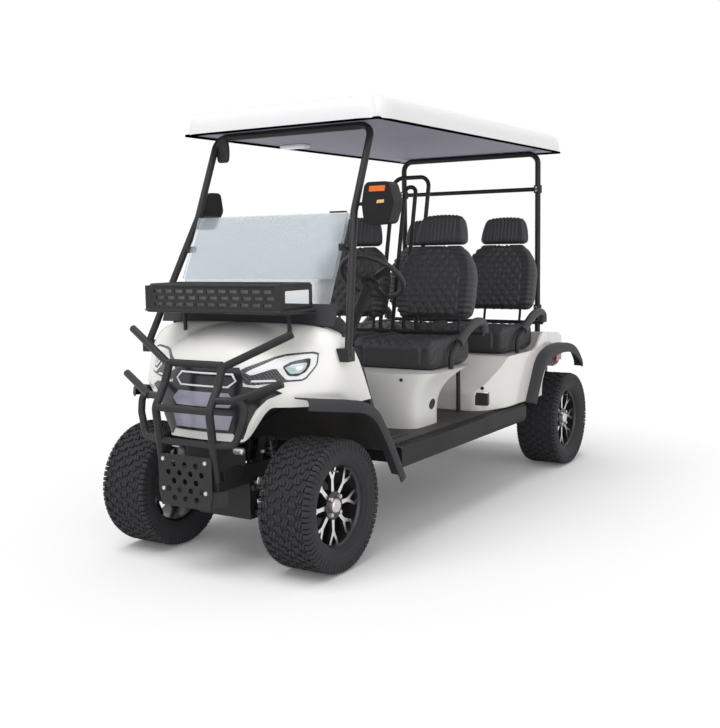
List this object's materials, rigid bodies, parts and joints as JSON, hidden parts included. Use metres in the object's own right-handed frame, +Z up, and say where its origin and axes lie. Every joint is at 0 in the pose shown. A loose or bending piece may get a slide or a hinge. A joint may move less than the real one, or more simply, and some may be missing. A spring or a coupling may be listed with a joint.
{
  "type": "lifted four-seat electric golf cart",
  "caption": "Lifted golf cart with forward-facing front and rear seats, a full roof, a fold-down windshield, a brush guard and off-road tyres.",
  "frame": {"origin": "middle of the cart's footprint, on the ground", "axes": "+X to the driver's side (the cart's left), -Y forwards, +Z up"},
  "size_m": [1.3217, 3.308, 2.0948],
  "materials": {
    "body_white": "pearl white gloss",
    "roof_white": "white, fine grain",
    "black_steel": "black powder coat",
    "shock_steel": "black with bright stem",
    "cast_parts": "dark, as cast",
    "motor_case": "satin",
    "battery_case": "matt",
    "black_plastic": "grained",
    "black_gloss": "gloss",
    "grip_black": "soft grip",
    "mat_rubber": "ribbed",
    "seat_black": "quilted vinyl",
    "ceiling_grey": "grained",
    "clear_pane": "clear",
    "lamp_clear": "clear lens",
    "lamp_red": "gloss",
    "tyre_rubber": "matt",
    "rim_alloy": "black with machined spokes"
  },
  "bodies": {
    "root": {"main_frame": "black_steel", "wishbones": "black_steel", "front_shocks": "shock_steel", "steering_column": "black_plastic", "rear_axle": "cast_parts", "drive_motor": "motor_case", "leaf_springs": "black_steel", "battery_pack": "battery_case", "floor_pan": "mat_rubber", "sills": "black_plastic", "front_cowl": "body_white", "front_grille": "black_gloss", "headlights": "lamp_clear", "flares": "black_plastic", "dashboard": "black_plastic", "pedals": "black_steel", "front_seat_base": "body_white", "rear_body": "body_white", "cushions": "seat_black", "backrests": "seat_black", "seat_frames": "black_steel", "roof": "roof_white", "ceiling": "ceiling_grey", "front_struts": "black_steel", "rear_frame": "black_steel", "windshield": "clear_pane", "mirrors": "black_plastic", "brush_guard": "black_steel", "skid_plate": "black_steel", "basket": "black_steel", "tail_lights": "lamp_red", "rear_bumper": "black_steel"},
    "knuckle_left": {"knuckle_left": "cast_parts"},
    "knuckle_right": {"knuckle_right": "cast_parts"},
    "tie_rod": {"tie_rod": "cast_parts"},
    "pitman_arm": {"pitman_arm": "cast_parts"},
    "steering_wheel": {"steering_wheel": "grip_black"},
    "wheel_front_left": {"tyre_front_left": "tyre_rubber", "rim_front_left": "rim_alloy"},
    "wheel_front_right": {"tyre_front_right": "tyre_rubber", "rim_front_right": "rim_alloy"},
    "wheel_rear_left": {"tyre_rear_left": "tyre_rubber", "rim_rear_left": "rim_alloy"},
    "wheel_rear_right": {"tyre_rear_right": "tyre_rubber", "rim_rear_right": "rim_alloy"}
  },
  "joints": [
    {"name": "steer_left", "type": "hinge", "parent": "root", "child": "knuckle_left", "pos_m": [0.318, -1.275, 0.292], "axis": [0, 0, 1], "range_deg": [-27, 27]},
    {"name": "steer_right", "type": "hinge", "parent": "root", "child": "knuckle_right", "pos_m": [-0.318, -1.275, 0.292], "axis": [0, 0, 1], "range_deg": [-27, 27]},
    {"name": "pitman_turn", "type": "hinge", "parent": "root", "child": "pitman_arm", "pos_m": [0.06, -1.275, 0.262], "axis": [0, 0, 1], "range_deg": [-27, 27]},
    {"name": "tie_rod_turn", "type": "hinge", "parent": "knuckle_left", "child": "tie_rod", "pos_m": [0.318, -1.165, 0.262], "axis": [0, 0, 1], "range_deg": [-27, 27]},
    {"name": "steering_wheel_turn", "type": "hinge", "parent": "root", "child": "steering_wheel", "pos_m": [0.278, -0.525, 1.25], "axis": [0, 0.6428, 0.766], "range_deg": [-405, 405]},
    {"name": "spin_front_left", "type": "hinge", "parent": "knuckle_left", "child": "wheel_front_left", "pos_m": [0.4535, -1.275, 0.292], "axis": [1, 0, 0], "continuous": true},
    {"name": "spin_front_right", "type": "hinge", "parent": "knuckle_right", "child": "wheel_front_right", "pos_m": [-0.4535, -1.275, 0.292], "axis": [1, 0, 0], "continuous": true},
    {"name": "spin_rear_left", "type": "hinge", "parent": "root", "child": "wheel_rear_left", "pos_m": [0.5175, 1.285, 0.292], "axis": [1, 0, 0], "continuous": true},
    {"name": "spin_rear_right", "type": "hinge", "parent": "root", "child": "wheel_rear_right", "pos_m": [-0.5175, 1.285, 0.292], "axis": [1, 0, 0], "continuous": true}
  ],
  "couplings": [
    {"joint": "steer_right", "follows": "steer_left", "ratio": 1},
    {"joint": "pitman_turn", "follows": "steer_left", "ratio": 1},
    {"joint": "tie_rod_turn", "follows": "steer_left", "ratio": -1},
    {"joint": "steering_wheel_turn", "follows": "steer_left", "ratio": 15}
  ]
}
